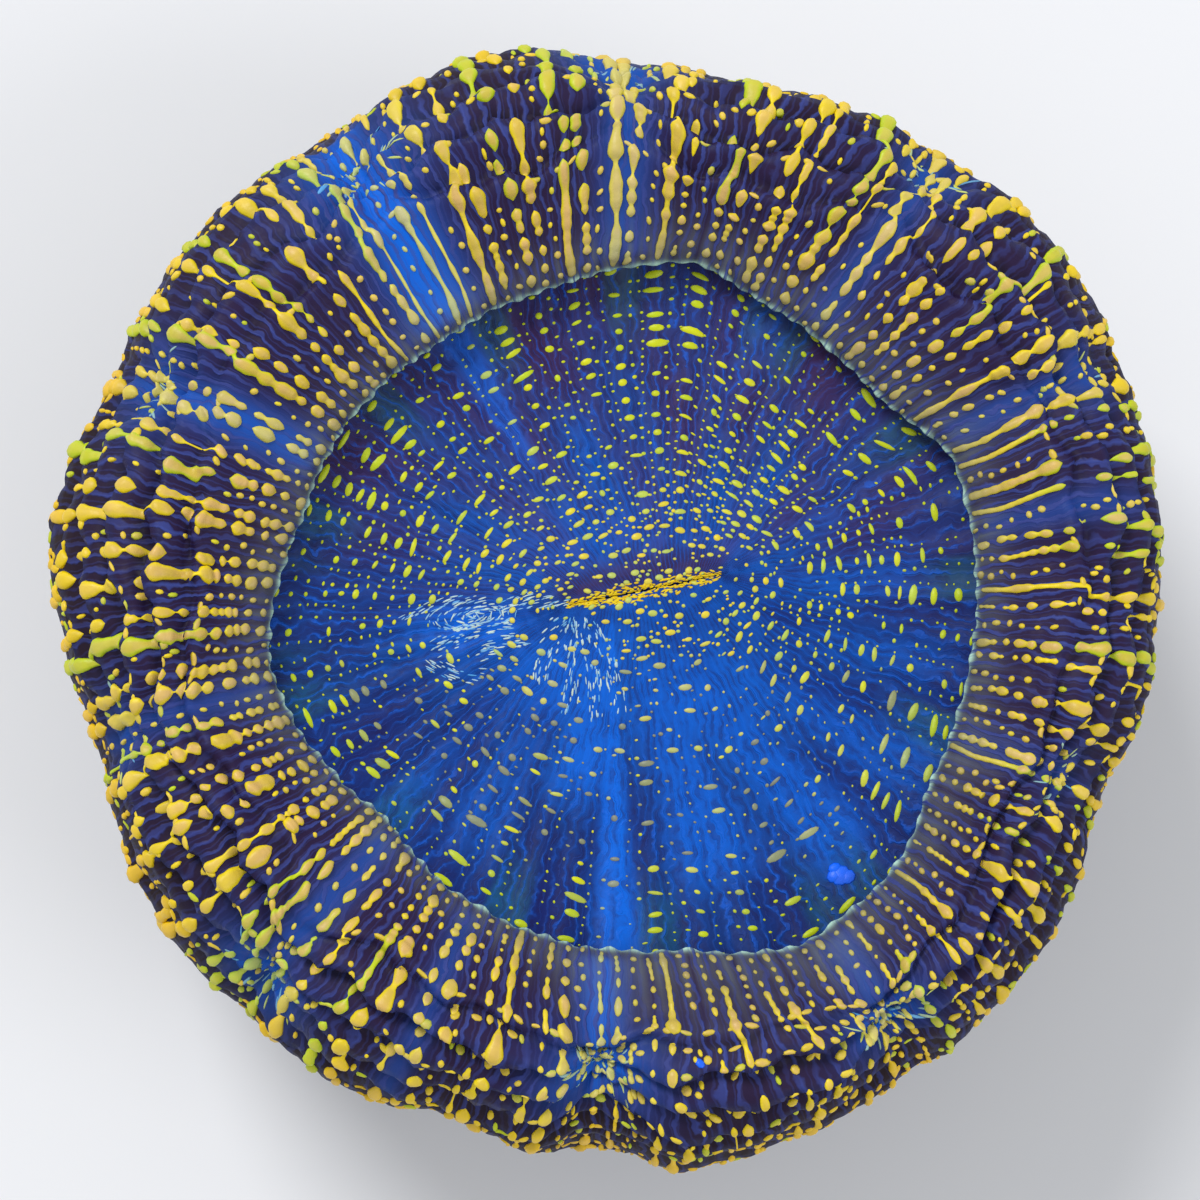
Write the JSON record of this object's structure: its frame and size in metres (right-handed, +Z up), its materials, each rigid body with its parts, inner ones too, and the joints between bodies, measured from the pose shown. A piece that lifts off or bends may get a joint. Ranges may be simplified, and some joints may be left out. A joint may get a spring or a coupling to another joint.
{
  "type": "acanthophyllia coral",
  "caption": "Solitary fleshy stony coral: a low round polyp with a flat oral disc, slit mouth and thick beaded, terraced mantle, on the sawn stump of its skeleton.",
  "frame": {"origin": "centre of the saw cut under the skeleton, which is the face that the coral stands on", "axes": "+Z up out of the mouth, +X and +Y across the disc; the mouth's slit runs 12 degrees anticlockwise of +X"},
  "size_m": [0.072, 0.0724, 0.0366],
  "materials": {
    "living_flesh": "moist living tissue: dark violet with fine blue radial lines, covered in glossy yellow beads on the mantle and yellow-green spots on the disc",
    "stony_skeleton": "rough pale limestone with upright ribs and a plain saw cut underneath"
  },
  "bodies": {
    "root": {"polyp": "living_flesh", "skeleton": "stony_skeleton"}
  },
  "joints": []
}
